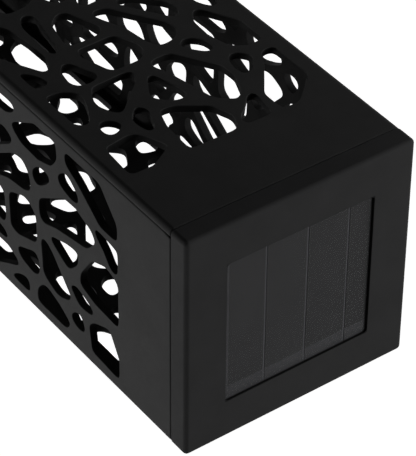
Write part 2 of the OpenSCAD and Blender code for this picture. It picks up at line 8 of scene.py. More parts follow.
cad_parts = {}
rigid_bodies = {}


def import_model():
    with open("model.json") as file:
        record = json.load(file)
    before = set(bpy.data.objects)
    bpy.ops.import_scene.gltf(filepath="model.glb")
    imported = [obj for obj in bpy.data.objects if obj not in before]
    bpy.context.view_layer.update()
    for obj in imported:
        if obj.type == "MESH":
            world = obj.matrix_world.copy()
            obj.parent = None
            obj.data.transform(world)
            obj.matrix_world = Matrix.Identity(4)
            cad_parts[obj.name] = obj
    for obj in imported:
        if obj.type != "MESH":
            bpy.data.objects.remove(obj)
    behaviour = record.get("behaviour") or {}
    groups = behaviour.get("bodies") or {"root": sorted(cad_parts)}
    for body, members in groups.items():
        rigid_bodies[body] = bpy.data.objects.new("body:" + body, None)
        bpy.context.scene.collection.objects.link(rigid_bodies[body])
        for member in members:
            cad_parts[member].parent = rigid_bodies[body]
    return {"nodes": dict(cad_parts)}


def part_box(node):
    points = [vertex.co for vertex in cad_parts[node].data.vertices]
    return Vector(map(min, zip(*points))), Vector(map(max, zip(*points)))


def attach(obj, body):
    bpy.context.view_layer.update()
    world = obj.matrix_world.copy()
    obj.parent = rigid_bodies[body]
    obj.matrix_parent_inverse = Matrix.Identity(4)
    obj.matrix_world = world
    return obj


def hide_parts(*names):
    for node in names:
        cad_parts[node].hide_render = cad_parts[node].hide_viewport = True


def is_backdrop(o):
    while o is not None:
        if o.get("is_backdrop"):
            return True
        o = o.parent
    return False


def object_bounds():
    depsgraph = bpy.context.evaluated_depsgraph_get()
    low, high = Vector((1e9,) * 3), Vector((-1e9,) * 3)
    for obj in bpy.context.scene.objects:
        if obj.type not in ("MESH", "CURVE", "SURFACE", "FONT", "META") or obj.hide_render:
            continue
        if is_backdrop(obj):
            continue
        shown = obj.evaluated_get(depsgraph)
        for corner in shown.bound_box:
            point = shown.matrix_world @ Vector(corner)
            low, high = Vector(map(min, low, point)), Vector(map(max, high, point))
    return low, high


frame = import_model()
cad_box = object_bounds()


# Camera. It looks down at the head of the lamp from its left front, through a long lens, so that the
# upright edges stay nearly parallel. The lamp's far end runs out of the picture on the upper left.
camera_place = Vector((-0.41096, -0.29382, 0.56389))
camera_aim = Vector((0.64045, 0.45463, -0.61898)).normalized()
camera_right = Vector((-0.0076, 0.8097, 0.5868))
camera_right = (camera_right - camera_aim * camera_right.dot(camera_aim)).normalized()
camera_up = camera_right.cross(camera_aim)


def placed(name, data):
    """A new object in the scene."""
    thing = bpy.data.objects.new(name, data)
    bpy.context.scene.collection.objects.link(thing)
    return thing


camera_data = bpy.data.cameras.new("camera")
camera_data.sensor_width = 36.0
camera_data.lens = 212.06
camera_data.clip_start = 0.01
camera = placed("camera", camera_data)
camera_turn = Matrix((camera_right, camera_up, -camera_aim)).transposed()
camera.matrix_world = Matrix.Translation(camera_place) @ camera_turn.to_4x4()
bpy.context.scene.camera = camera
bpy.context.scene.view_settings.view_transform = "Standard"


# Studio. A pale floor at the spike's tip shows white to the camera and in reflections, and keeps the soft
# shadow of the lamp. A low strip light stands in front on the right, a broad one hangs high at the back,
# and a small weak one fills the left side from behind.
floor_size = 6.0
floor_tones = (0.22, 0.8)
glow_reach = (0.4, 1.2)
glow_levels = (0.72, 1.0)
sky_levels = (0.03, 1.0)
head_centre = (0, 0, 0.19)


def as_mesh(name, bm):
    """A mesh of the finished bmesh, which is used up."""
    mesh = bpy.data.meshes.new(name)
    bm.to_mesh(mesh)
    bm.free()
    return mesh


def feed(tree, node, inputs):
    """Gives the node's inputs, by name or number, plain values or the outputs of other nodes."""
    for socket, value in inputs.items():
        if isinstance(value, bpy.types.NodeSocket):
            tree.links.new(value, node.inputs[socket])
        else:
            node.inputs[socket].default_value = value


def new_node(tree, kind, inputs, **settings):
    node = tree.nodes.new("ShaderNode" + kind)
    for setting, value in settings.items():
        setattr(node, setting, value)
    feed(tree, node, inputs)
    return node


def maths(tree, operation, *values):
    """One step of arithmetic on plain numbers or the outputs of other nodes."""
    return new_node(tree, "Math", dict(enumerate(values)), operation=operation).outputs[0]


def mapped(tree, value, source, target):
    """Maps the value from one range of numbers onto another, and holds it there."""
    scale = new_node(tree, "MapRange", {"Value": value, "From Min": source[0], "From Max": source[1],
                                        "To Min": target[0], "To Max": target[1]})
    return scale.outputs["Result"]


def own_place(tree):
    """Where a point lies on the piece itself, in metres."""
    return tree.nodes.new("ShaderNodeTexCoord").outputs["Object"]


def seen_directly(tree):
    """1 for rays from the camera and for reflected and refracted ones, 0 for scattered light."""
    path = new_node(tree, "LightPath", {})
    total = path.outputs["Is Camera Ray"]
    for kind in ("Is Glossy Ray", "Is Transmission Ray"):
        total = maths(tree, "MAXIMUM", total, path.outputs[kind])
    return total


def floor_finish():
    """Plain grey to scattered light, and to the eye a white that glows a little more further out."""
    finish = bpy.data.materials.new("studio_floor")
    finish.use_nodes = True
    tree = finish.node_tree
    tree.nodes.clear()
    direct = seen_directly(tree)
    away = new_node(tree, "VectorMath", {0: own_place(tree)}, operation="LENGTH").outputs["Value"]
    strength = maths(tree, "MULTIPLY", direct, mapped(tree, away, glow_reach, glow_levels))
    paint = new_node(tree, "BsdfDiffuse", {"Color": mapped(tree, direct, (0, 1), floor_tones)})
    glow = new_node(tree, "Emission", {"Strength": strength})
    both = new_node(tree, "AddShader", {0: paint.outputs[0], 1: glow.outputs[0]})
    new_node(tree, "OutputMaterial", {"Surface": both.outputs[0]})
    return finish


floor_bm = bmesh.new()
bmesh.ops.create_grid(floor_bm, x_segments=1, y_segments=1, size=floor_size / 2)
bmesh.ops.translate(floor_bm, verts=floor_bm.verts, vec=(0, 0, cad_box[0].z))
floor = placed("floor", as_mesh("floor", floor_bm))
floor.data.materials.append(floor_finish())
floor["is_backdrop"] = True

world = bpy.data.worlds.new("studio")
world.use_nodes = True
bpy.context.scene.world = world
sky = world.node_tree
feed(sky, sky.nodes["Background"], {"Color": (1, 1, 1, 1),
                                    "Strength": mapped(sky, seen_directly(sky), (0, 1), sky_levels)})


def soft_light(name, place, aim, width, height, watts):
    data = bpy.data.lights.new(name, "AREA")
    data.shape = "RECTANGLE"
    data.size = width
    data.size_y = height
    data.energy = watts
    lamp = placed(name, data)
    lamp.location = place
    lamp.rotation_euler = (Vector(aim) - Vector(place)).to_track_quat("-Z", "Y").to_euler()
    lamp.visible_camera = False


soft_light("front_strip", (0.26, -0.65, -0.10), head_centre, width=0.4, height=0.08, watts=4.1)
soft_light("high_back", (-0.06, 0.42, 0.85), head_centre, width=0.5, height=0.5, watts=4.8)
soft_light("left_back", (-0.10, 0.22, 0.22), (-0.03, 0, 0.18), width=0.10, height=0.10, watts=0.21)


# Ground spike. One injection moulding in black plastic: a cross of two tapering blades, a round flange
# that lies flush in the underside of the base, and a plug that is pressed up into the base's socket.
MM = 0.001
spike_round = 0.35 * MM


def merged_copy(node):
    """The CAD node's mesh with its loose triangles joined up and its flat faces made whole."""
    bm = bmesh.new()
    bm.from_mesh(frame["nodes"][node].data)
    bmesh.ops.remove_doubles(bm, verts=bm.verts, dist=0.002 * MM)
    bmesh.ops.dissolve_limit(bm, angle_limit=radians(0.5), verts=bm.verts, edges=bm.edges)
    return bm


def outer_edges(bm, angle=40):
    """Edges where two faces meet in a corner that stands out by more than the angle in degrees."""
    return [e for e in bm.edges if e.is_manifold and e.calc_face_angle_signed(0) > radians(angle)]


def round_edges(bm, edges, width, segments=2):
    bmesh.ops.bevel(bm, geom=edges, offset=width, offset_type="OFFSET", segments=segments, profile=0.5,
                    affect="EDGES", clamp_overlap=True, loop_slide=False, material=-1)


def softened(node, width, angle=40, segments=2):
    """The CAD node's mesh with its outer edges rounded."""
    bm = merged_copy(node)
    round_edges(bm, outer_edges(bm, angle), width, segments)
    return bm


def add_piece(name, bm, finish, body, slot, *nodes):
    """Makes a piece of a finished mesh. It rides on the body and stands for the CAD nodes."""
    mesh = as_mesh(name, bm)
    mesh.materials.append(finish)
    # Normals that came along with a CAD mesh no longer fit, and would hide its sharp edges.
    if "custom_normal" in mesh.attributes:
        mesh.attributes.remove(mesh.attributes["custom_normal"])
    mesh.polygons.foreach_set("use_smooth", [True] * len(mesh.polygons))
    mesh.set_sharp_from_angle(angle=radians(50))
    piece = placed(name, mesh)
    weighted = piece.modifiers.new("even_shading", "WEIGHTED_NORMAL")
    weighted.keep_sharp = True
    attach(piece, body)
    if nodes:
        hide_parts(*nodes)


def grain(tree, size, detail=2.0, roughness=0.5):
    """Noise on the piece itself, with features of the given size in metres."""
    noise = new_node(tree, "TexNoise", {"Scale": 1 / size, "Detail": detail, "Roughness": roughness,
                                        "Vector": own_place(tree)})
    return noise.outputs["Fac"]


def two_tones(tree, value, low, high, low_at=0.35, high_at=0.65):
    """Fades from one colour to another while the value goes from low_at to high_at."""
    ramp = new_node(tree, "ValToRGB", {"Fac": value})
    for stop, place, colour in zip(ramp.color_ramp.elements, (low_at, high_at), (low, high)):
        stop.position = place
        stop.color = (*colour, 1)
    return ramp.outputs["Color"]


def shade_of(colour, share):
    return tuple(c * share for c in colour)


def mottled(tree, value, colour, low, high):
    """Two shades of one colour, which the value mixes."""
    return two_tones(tree, value, shade_of(colour, low), shade_of(colour, high))


def uneven(tree, size, low, high, detail=3, roughness=0.5):
    """A number that wanders between two others, in patches of the given size in metres."""
    return mapped(tree, grain(tree, size, detail, roughness), (0.3, 0.7), (low, high))


def raised(tree, value, height):
    """A relief that stands up by the height in metres where the value is 1."""
    return new_node(tree, "Bump", {"Distance": height, "Height": value}).outputs["Normal"]


def new_finish(name, metallic=0.0, gloss=0.5):
    finish = bpy.data.materials.new(name)
    finish.use_nodes = True
    shader = finish.node_tree.nodes["Principled BSDF"]
    feed(finish.node_tree, shader, {"Metallic": metallic, "Specular IOR Level": gloss})
    return finish, finish.node_tree, shader


def moulded_plastic(name, colour, rough=0.55, gloss=0.01, texture=0.16 * MM, height=0.012 * MM):
    """Plastic from a spark-eroded mould: a fine satin grain, and slow clouds in its tone and sheen."""
    finish, tree, shader = new_finish(name, gloss=gloss)
    feed(tree, shader, {
        "Base Color": mottled(tree, grain(tree, 9 * MM, detail=3), colour, 0.95, 1.05),
        "Roughness": uneven(tree, 1.5 * MM, rough - 0.05, rough + 0.06, detail=4),
        "Normal": raised(tree, grain(tree, texture), height)})
    return finish


add_piece("ground_spike", softened("spike", spike_round),
          moulded_plastic("spike_black", (0.024, 0.024, 0.025)), "spike", "spike_plastic", "spike")


# Base. The moulded floor of the shade, with the upstand that the panels are screwed to, the socket for
# the spike with its four gussets, and drain holes.
base_round = 0.4 * MM
add_piece("shade_base", softened("base_plate", base_round),
          moulded_plastic("base_black", (0.027, 0.027, 0.028)), "lamp", "base_plastic", "base_plate")


# Panel screws. Sixteen plated pan head screws with a cross recess: eight go from inside the shade through
# the base's upstand, and eight through the collar. Each bites into a boss on a panel.
screw_head = 2.9 * MM
screw_head_height = 1.4 * MM
head_skirt = 0.35
screw_shank = 1.0 * MM
screw_reach = 3.3 * MM
screw_pitch = 0.6 * MM
screw_across = 18 * MM
recess_arm = 3.0 * MM
recess_slot = 0.55 * MM
recess_depth = 0.8 * MM


def everything(bm):
    return bm.verts[:] + bm.edges[:] + bm.faces[:]


def quarter_turns(count, axis):
    return Matrix.Rotation(count * pi / 2, 3, axis)


def middle(low, high):
    """The point half way between two corners."""
    return tuple((a + b) / 2 for a, b in zip(low, high))


def turned(profile, steps):
    """Turns a profile of (radius, height) points about the upright axis into a closed solid."""
    bm = bmesh.new()
    verts = [bm.verts.new((radius, 0, height)) for radius, height in profile]
    edges = [bm.edges.new(pair) for pair in zip(verts, verts[1:])]
    bmesh.ops.spin(bm, geom=verts + edges, cent=(0, 0, 0), axis=(0, 0, 1), angle=tau, steps=steps,
                   use_merge=True)
    bmesh.ops.remove_doubles(bm, verts=bm.verts, dist=0.001 * MM)
    bmesh.ops.recalc_face_normals(bm, faces=bm.faces)
    return bm


def block(size, centre):
    bm = bmesh.new()
    bmesh.ops.create_cube(bm, size=1)
    bmesh.ops.scale(bm, verts=bm.verts, vec=size)
    bmesh.ops.translate(bm, verts=bm.verts, vec=centre)
    return bm


def join(*parts):
    """One mesh that holds the parts as separate shells. The parts are used up."""
    whole = bmesh.new()
    for part in parts:
        mesh = as_mesh("part", part)
        whole.from_mesh(mesh)
        bpy.data.meshes.remove(mesh)
    return whole


def moved(bm, shift=(0, 0, 0), turn=None):
    """Turns a shape about the origin, where a turn is given, and then shifts it."""
    if turn is not None:
        bmesh.ops.rotate(bm, verts=bm.verts, cent=(0, 0, 0), matrix=turn)
    bmesh.ops.translate(bm, verts=bm.verts, vec=shift)
    return bm


def as_bmesh(thing):
    """The shape that an object's modifiers or its curve give. The object is used up."""
    bpy.context.view_layer.update()
    mesh = bpy.data.meshes.new_from_object(thing.evaluated_get(bpy.context.evaluated_depsgraph_get()))
    bm = bmesh.new()
    bm.from_mesh(mesh)
    bpy.data.batch_remove((mesh, thing, thing.data))
    return bm


def cut_out(bm, cutter):
    """Takes the cutter's shape out of a solid. Both are used up."""
    solid, tool = (placed("cut", as_mesh("cut", part)) for part in (bm, cutter))
    cut = solid.modifiers.new("cut", "BOOLEAN")
    cut.operation = "DIFFERENCE"
    cut.solver = "EXACT"
    cut.object = tool
    result = as_bmesh(solid)
    bpy.data.batch_remove((tool, tool.data))
    return result


def winding(radius, wire, pitch, turns, base, sides, steps):
    """An unbroken helix of wire about the upright axis, closed at both ends."""
    bm = bmesh.new()
    bmesh.ops.create_circle(bm, cap_ends=True, radius=wire / 2, segments=sides)
    moved(bm, (radius, 0, base), quarter_turns(1, "X"))
    bmesh.ops.spin(bm, geom=everything(bm), cent=(0, 0, 0), axis=(0, 0, 1), dvec=(0, 0, pitch / steps),
                   angle=tau * turns, steps=int(steps * turns))
    bmesh.ops.recalc_face_normals(bm, faces=bm.faces)
    return bm


def pan_screw(head, height, shank, reach):
    """A pan head screw standing on its point, its head's underside at the origin."""
    root_r, tip_r, thread_r, thread_wire = 0.8 * shank, 0.25 * shank, 0.82 * shank, 0.36 * shank
    crown = [(head * cos(radians(a)), head_skirt * height + (1 - head_skirt) * height * sin(radians(a)))
             for a in range(0, 91, 15)]
    point = [(0, -reach), (tip_r, -reach), (root_r, -reach + shank)]
    solid = turned(point + [(root_r, 0), (head, 0)] + crown, 24)
    arm = recess_arm * head / screw_head
    for slot in ((arm, recess_slot), (recess_slot, arm)):
        solid = cut_out(solid, block((*slot, 2 * recess_depth), (0, 0, height)))
    turns = (reach - 1.2 * shank) / screw_pitch
    thread = winding(thread_r, thread_wire, screw_pitch, turns, -reach + shank, sides=3, steps=12)
    return join(solid, thread)


def plated_metal(name, colour, rough=0.32):
    """Bright plating, with fine scratches and slow clouds in its polish."""
    finish, tree, shader = new_finish(name, metallic=1.0)
    feed(tree, shader, {
        "Base Color": mottled(tree, grain(tree, 2.5 * MM, detail=3), colour, 0.86, 1),
        "Roughness": uneven(tree, 0.6 * MM, rough - 0.08, rough + 0.12, detail=4, roughness=0.7),
        "Normal": raised(tree, grain(tree, 0.12 * MM), 0.006 * MM)})
    return finish


screw_steel = plated_metal("zinc_plate", (0.50, 0.51, 0.52))
one_screw = pan_screw(screw_head, screw_head_height, screw_shank, screw_reach)
for name, node in (("base_side_screws", "base_screws"), ("collar_side_screws", "collar_screws")):
    low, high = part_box(node)
    seat = -(high.x - screw_reach)
    row = []
    for quarter in range(4):
        for side in (-1, 1):
            place = (side * screw_across, seat, middle(low, high)[2])
            screw = moved(one_screw.copy(), place, quarter_turns(-1, "X"))
            row.append(moved(screw, turn=quarter_turns(quarter, "Z")))
    add_piece(name, join(*row), screw_steel, "lamp", "screw_steel", node)
one_screw.free()


# Perforated panels. Four mouldings in charcoal plastic, each lapping over the edge of the next one. They
# are welded flush in pairs, and the pairs meet at two corners in open joints with rounded edges. All faces
# have the mould's satin grain, and the walls of the holes and the inside of the shade are painted darker,
# as painted shade.
panel_low, panel_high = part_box("front_panel")
panel_wall = 2 * MM
panel_margin = 1 * MM
shade_corner = 1.5 * MM
flat_from = (1.5 * MM, 0, 1 * MM)
flat_until = (3 * MM, 0, 3 * MM)
bar_step = 0.8 * MM
bar_easing = 12
bar_rim = 0.2 * MM
outline_rim = 0.45 * MM
screw_rows = [middle(*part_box(node))[2] for node in ("base_screws", "collar_screws")]
boss_reach = 4 * MM
# Painted shade on the hole walls and the inside: its share of the outer colour, how it fades in at the
# edge, and how far it reaches round the corners.
inner_shade_share = 0.35
painted_shade_fade = 0.15 * MM
painted_shade_corner_share = 0.4


def part_along(bm, place, across):
    """Parts the faces along the plane through the place, square to the direction across."""
    bmesh.ops.bisect_plane(bm, geom=everything(bm), dist=0.0005 * MM, plane_co=place, plane_no=across)


def close_relief(bm):
    """Fills the small relief at the head of a welded butt edge."""
    for v in bm.verts:
        if v.co.x < panel_low.x + panel_margin and v.co.z > panel_high.z - 0.01 * MM:
            v.co.x = panel_low.x


def ease_openings(bm):
    """Draws the outlines of the open holes into soft curves, and then back out to their old size."""
    by_cuts = {}
    for e in bm.edges:
        if e.is_boundary:
            by_cuts.setdefault(int(e.calc_length() / bar_step), []).append(e)
    for cuts, edges in by_cuts.items():
        if cuts:
            bmesh.ops.bisect_edges(bm, edges=edges, cuts=cuts)
    beside = {v: [e.other_vert(v) for e in v.link_edges if e.is_boundary]
              for v in bm.verts if v.is_boundary}
    for weight in [0.5] * bar_easing + [-bar_easing / 2]:
        drawn = [(v, v.co.lerp((a.co + b.co) / 2, weight)) for v, (a, b) in beside.items()]
        for v, place in drawn:
            v.co = place


def draw_out(bm, edges, shift):
    """Draws the edges out into a wall."""
    grown = bmesh.ops.extrude_edge_only(bm, edges=edges)["geom"]
    ends = [g for g in grown if isinstance(g, bmesh.types.BMVert)]
    bmesh.ops.translate(bm, verts=ends, vec=shift)


def line_openings(bm, outlines):
    """Makes the walls of the holes, from their outlines on the outer face to those on the back."""
    draw_out(bm, outlines, (0, panel_wall, 0))
    bmesh.ops.remove_doubles(bm, verts=[v for v in bm.verts if v.is_boundary], dist=0.005 * MM)
    bmesh.ops.recalc_face_normals(bm, faces=bm.faces)


def panel_shape(butt_is_open):
    """The front panel with eased holes and a rounded outline. Its butt edge is open and its lap edge is
    welded to the next panel, or the other way round."""
    bm = merged_copy("front_panel")
    face, back = panel_low.y, panel_low.y + panel_wall
    flat = 0.01 * MM

    def inside(v):
        return (panel_low.x + panel_margin < v.co.x < panel_high.x - panel_margin
                and panel_low.z + panel_margin < v.co.z < panel_high.z - panel_margin)

    def beside_screw(v):
        return any(abs(v.co.z - row) < boss_reach for row in screw_rows)

    def lies_on(e, level):
        return all(abs(v.co.y - level) < flat for v in e.verts)

    def lines_hole(f):
        return abs(f.normal.y) < 0.1 and all(inside(v) and not beside_screw(v) for v in f.verts)

    def is_rim(e):
        return ((lies_on(e, face) or lies_on(e, back)) and inside(e.verts[0])
                and not any(beside_screw(v) for v in e.verts))

    def is_outline(e):
        a, b = (v.co for v in e.verts)
        upright = abs(a.z - b.z) > panel_margin
        at_lap = min(a.x, b.x) > panel_high.x - shade_corner - 0.1 * MM and max(a.y, b.y) < back + flat
        if at_lap and upright:
            return not butt_is_open
        if upright and max(a.x, b.x) < panel_low.x + panel_margin:
            return lies_on(e, face) and butt_is_open
        return at_lap and not lies_on(e, back) or lies_on(e, face) and not inside(e.verts[0])

    if not butt_is_open:
        close_relief(bm)
    bmesh.ops.delete(bm, geom=[f for f in bm.faces if lines_hole(f)], context="FACES")
    ease_openings(bm)
    line_openings(bm, [e for e in bm.edges if e.is_boundary and lies_on(e, face)])
    round_edges(bm, [e for e in outer_edges(bm, 50) if is_rim(e)], bar_rim)
    round_edges(bm, [e for e in outer_edges(bm, 50) if is_outline(e)], outline_rim, 3)
    for i, across in ((0, Vector((1, 0, 0))), (2, Vector((0, 0, 1)))):
        for level in (panel_low[i] + flat_from[i], panel_high[i] - flat_until[i]):
            part_along(bm, across * level, across)
    return bm


def painted_inner_shade(finish, reach, share, rounding=0):
    """Paints shade into the finish: darkens it on faces that lie further in than an upright square column,
    whose sides lie at this reach from the light's middle and whose corners have this rounding."""
    tree = finish.node_tree
    colour = tree.nodes["Principled BSDF"].inputs["Base Color"]
    apart = new_node(tree, "SeparateXYZ", {0: own_place(tree)})
    out = [maths(tree, "ABSOLUTE", apart.outputs[axis]) for axis in ("X", "Y")]
    corner = maths(tree, "MULTIPLY_ADD", maths(tree, "ADD", *out), 0.5, painted_shade_corner_share * rounding)
    outermost = maths(tree, "MAXIMUM", maths(tree, "MAXIMUM", *out), corner)
    level = mapped(tree, outermost, (reach - painted_shade_fade, reach), (share, 1))
    dimmed = new_node(tree, "VectorMath", {0: colour.links[0].from_socket, "Scale": level},
                      operation="SCALE")
    tree.links.new(dimmed.outputs[0], colour)
    return finish


# Painted shade: the walls of the holes and the inside of the shade get about a third of the outer faces'
# colour.
shade_black = painted_inner_shade(moulded_plastic("shade_charcoal", (0.034, 0.034, 0.034)),
                            panel_high.x - bar_rim, inner_shade_share, shade_corner)
for quarter, side in enumerate(("front", "right", "back", "left")):
    panel = moved(panel_shape(side in ("front", "back")), turn=quarter_turns(quarter, "Z"))
    add_piece("perforated_" + side, panel, shade_black, "lamp", "shade_plastic", side + "_panel")


# Collar. A square ring inside the top of the shade that ties the four panels together and guides the
# cap's skirt. It is moulded in the same black plastic as the base.
collar_part = 29.5 * MM
collar_round = 0.2 * MM


def part_at(bm, distance):
    """Parts the flat faces along planes on all four sides, so that no face runs round an opening."""
    for axis in (Vector((1, 0, 0)), Vector((0, 1, 0))):
        for side in (-1, 1):
            part_along(bm, axis * side * distance, axis)


def parted_ring(node, distance, width):
    """The CAD node's mesh with its flat faces parted and its outer edges rounded."""
    bm = merged_copy(node)
    part_at(bm, distance)
    round_edges(bm, outer_edges(bm, 60), width)
    return bm


add_piece("shade_collar", parted_ring("collar", collar_part, collar_round),
          moulded_plastic("collar_black", (0.027, 0.027, 0.028)), "lamp", "base_plastic", "collar")


# Gasket. A square ring of closed-cell foam that lies on the collar and keeps rain out of the head. Its
# edges are soft and its skin shows small pores.
foam_part = 29.6 * MM
foam_round = 0.35 * MM


def foam(name, colour):
    finish, tree, shader = new_finish(name, gloss=0.1)
    pores = grain(tree, 0.5 * MM, detail=3, roughness=0.6)
    feed(tree, shader, {"Base Color": mottled(tree, pores, colour, 0.6, 1.15), "Roughness": 0.95,
                        "Normal": raised(tree, pores, 0.12 * MM)})
    return finish


add_piece("foam_gasket", parted_ring("cap_gasket", foam_part, foam_round),
          foam("gasket_foam_grey", (0.018, 0.018, 0.019)), "head", "gasket_foam", "cap_gasket")


# Cap. A square moulding that closes the top of the shade. It holds the solar panel behind its window, and
# its skirt slides down inside the collar.
cap_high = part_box("cap")[1]
seam = panel_high.z
cap_part = 22.5 * MM
cap_round = 1.2 * MM
cap_foot_round = 0.5 * MM
window_side = 21 * MM
window_reach = 24 * MM
window_round = 0.12 * MM
window_margin = 0.2 * MM
window_shade_share = 0.4

cap_bm = merged_copy("cap")
part_at(cap_bm, cap_part)


def cap_edges(level, near, far):
    """Outer edges of the cap at one level, between two distances from its middle."""
    return [e for e in outer_edges(cap_bm)
            if all(abs(v.co.z - level) < 0.01 * MM and near < max(abs(v.co.x), abs(v.co.y)) < far
                   for v in e.verts)]


round_edges(cap_bm, cap_edges(seam, cap_high.x - 1 * MM, cap_high.x + 1 * MM), cap_foot_round, 3)
round_edges(cap_bm, cap_edges(cap_high.z, 0, window_reach), window_round)
round_edges(cap_bm, cap_edges(cap_high.z, cap_high.x - 2 * MM, cap_high.x + 1 * MM), cap_round, 5)
# Painted shade: the walls of the window are darkened to a share of the cap's colour.
cap_black = painted_inner_shade(moulded_plastic("cap_black", (0.0288, 0.0288, 0.0291)),
                          window_side + window_margin, window_shade_share)
add_piece("top_cap", cap_bm, cap_black, "head", "cap_plastic", "cap")


# Solar board. A laminate board that carries the cells. It shows as pale lines in the gaps between the
# strips, and two leads are soldered to its underside.
board_round = 0.1 * MM
weave_scale = 1 / (3.2 * MM)


def bands(tree, direction, scale):
    """Even waves along one direction of the piece."""
    wave = new_node(tree, "TexWave", {"Scale": scale, "Vector": own_place(tree)}, wave_type="BANDS",
                    bands_direction=direction)
    return wave.outputs["Fac"]


def laminate(name, colour):
    """Glass-fibre laminate: a faint square weave under a satin mask."""
    finish, tree, shader = new_finish(name, gloss=0.1)
    weave = maths(tree, "MULTIPLY", bands(tree, "X", weave_scale), bands(tree, "Y", weave_scale))
    feed(tree, shader, {
        "Base Color": two_tones(tree, weave, shade_of(colour, 0.88), colour, low_at=0.1, high_at=0.8),
        "Roughness": 0.45, "Normal": raised(tree, weave, 0.015 * MM)})
    return finish


add_piece("panel_board", softened("solar_board", board_round),
          laminate("panel_laminate", (0.12, 0.12, 0.13)), "head", "board_laminate", "solar_board")


# Silicon strips. Four cells cut from a dark wafer, set side by side with a narrow gap. A row of very fine
# printed fingers runs across each strip.
strip_gap = 0.5 * MM
strip_count = 4
strip_low, strip_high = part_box("solar_cells")
ribbon_low, ribbon_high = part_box("bus_ribbons")
strip_pitch = (strip_high.y - ribbon_low.y + strip_gap) / strip_count
unit_wave = 0.314
finger_pitch = 1.6 * MM
finger_scale = unit_wave / finger_pitch


def blended(tree, share, one, other):
    """Goes from one colour, a node's output, to the other, a plain one."""
    mix = new_node(tree, "Mix", {"Factor": share, 6: one, 7: (*other, 1)}, data_type="RGBA")
    return mix.outputs[2]


def silicon(name, colour):
    """A dark textured wafer with printed fingers and faint crystal clouds."""
    finish, tree, shader = new_finish(name, gloss=0.03)
    fingers = two_tones(tree, bands(tree, "X", finger_scale), (0, 0, 0), (1, 1, 1), 0.93, 0.99)
    clouds = mottled(tree, grain(tree, 6 * MM, detail=4), colour, 0.95, 1.05)
    feed(tree, shader, {
        "Base Color": blended(tree, fingers, clouds, shade_of(colour, 1.18)), "Roughness": 0.4,
        "Normal": raised(tree, grain(tree, 0.2 * MM), 0.01 * MM)})
    return finish


def box_between(low, high):
    return block([b - a for a, b in zip(low, high)], middle(low, high))


def plate(low, high, edge=0.04 * MM):
    """A thin rectangular plate between two corners, its edges broken."""
    bm = box_between(low, high)
    round_edges(bm, bm.edges[:], edge, 1)
    return bm


def strip_edges(i):
    """Near and far side of a strip, as it lies across the light."""
    near = ribbon_low.y + i * strip_pitch
    return near, near + strip_pitch - strip_gap


strips = []
for i in range(strip_count):
    near, far = strip_edges(i)
    near = strip_low.y if i == 0 else near
    strips.append(plate((strip_low.x, near, strip_low.z), (strip_high.x, far, strip_high.z)))
add_piece("silicon_strips", join(*strips), silicon("dark_silicon", (0.0365, 0.0365, 0.037)), "head",
          "solar_silicon", "solar_cells")


# Ribbons. Flat tinned copper ribbons that join the strips: one piece across the right end of each strip,
# and a narrow one along the outer edge of the first strip.
ribbons = []
for i in range(strip_count):
    near, far = strip_edges(i)
    ribbons.append(plate((strip_high.x, near, ribbon_low.z), (ribbon_high.x, far, ribbon_high.z)))
ribbons.append(plate(ribbon_low, (strip_high.x, strip_low.y, ribbon_high.z)))


def tinned(name, colour):
    """Dull tin over copper under the resin: a mottled, slightly blue grey."""
    finish, tree, shader = new_finish(name, gloss=0.05)
    mottles = grain(tree, 1.1 * MM, detail=4, roughness=0.65)
    feed(tree, shader, {
        "Base Color": mottled(tree, mottles, colour, 0.86, 1.12),
        "Roughness": uneven(tree, 0.5 * MM, 0.35, 0.5),
        "Normal": raised(tree, grain(tree, 0.35 * MM, detail=3), 0.02 * MM)})
    return finish


add_piece("tinned_ribbons", join(*ribbons), tinned("dull_tin", (0.058, 0.0585, 0.062)), "head",
          "ribbon_tin", "bus_ribbons")


# Cover. Clear resin poured over the cells in one level sheet. It darkens with the cells below it and has
# only a weak sheen of its own.
cover_low, cover_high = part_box("solar_cover")
resin_gap = 0.03 * MM
resin_round = 0.15 * MM
resin_clear = 0.16


def clear_resin(name):
    finish, tree, shader = new_finish(name, gloss=0.05)
    clouds = grain(tree, 7 * MM)
    feed(tree, shader, {"Base Color": two_tones(tree, clouds, (0.05, 0.05, 0.052), (0.06, 0.06, 0.062)),
                        "Roughness": uneven(tree, 3 * MM, 0.18, 0.28),
                        "Alpha": resin_clear})
    return finish


cover_bm = plate((cover_low.x, cover_low.y, strip_high.z + resin_gap), cover_high, resin_round)
add_piece("resin_cover", cover_bm, clear_resin("clear_resin_sheet"), "head", "clear_resin", "solar_cover")


# Housing. The tub below the solar board that holds the battery, the electronics and the lens. It is
# moulded in black plastic and clips into the cap's skirt with four lugs.
housing_part = 24.6 * MM
housing_round = 0.18 * MM
housing_black = moulded_plastic("housing_black_plastic", (0.028, 0.028, 0.029))
add_piece("electronics_housing", parted_ring("housing", housing_part, housing_round), housing_black, "head",
          "housing_plastic", "housing")


# Battery. One rechargeable cell, a nickelled steel can whose button stands at the right end. A green
# sleeve of printed film is shrunk round it and wraps over both ends.
cell_low, cell_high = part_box("battery_cell")
_, cell_y, cell_z = middle(cell_low, cell_high)
cell_r = (cell_high.z - cell_low.z) / 2
button_r = 1.9 * MM
button_out = 1.2 * MM
button_round = 0.4 * MM
can_len = cell_high.x - cell_low.x - button_out
can_r = cell_r - 0.3 * MM
can_top = can_len - 0.3 * MM
can_round = 0.8 * MM
sleeve = 0.25 * MM
sleeve_round = 0.7 * MM
lip_r = cell_r - 1.6 * MM
lip_in = 0.1 * MM
band_length = 10 * MM


def arc(centre_r, centre_z, radius, start, end, steps=5):
    """Points of a profile's round corner, from one angle to another in degrees."""
    angles = [radians(start + (end - start) * i / steps) for i in range(steps + 1)]
    return [(centre_r + radius * cos(a), centre_z + radius * sin(a)) for a in angles]


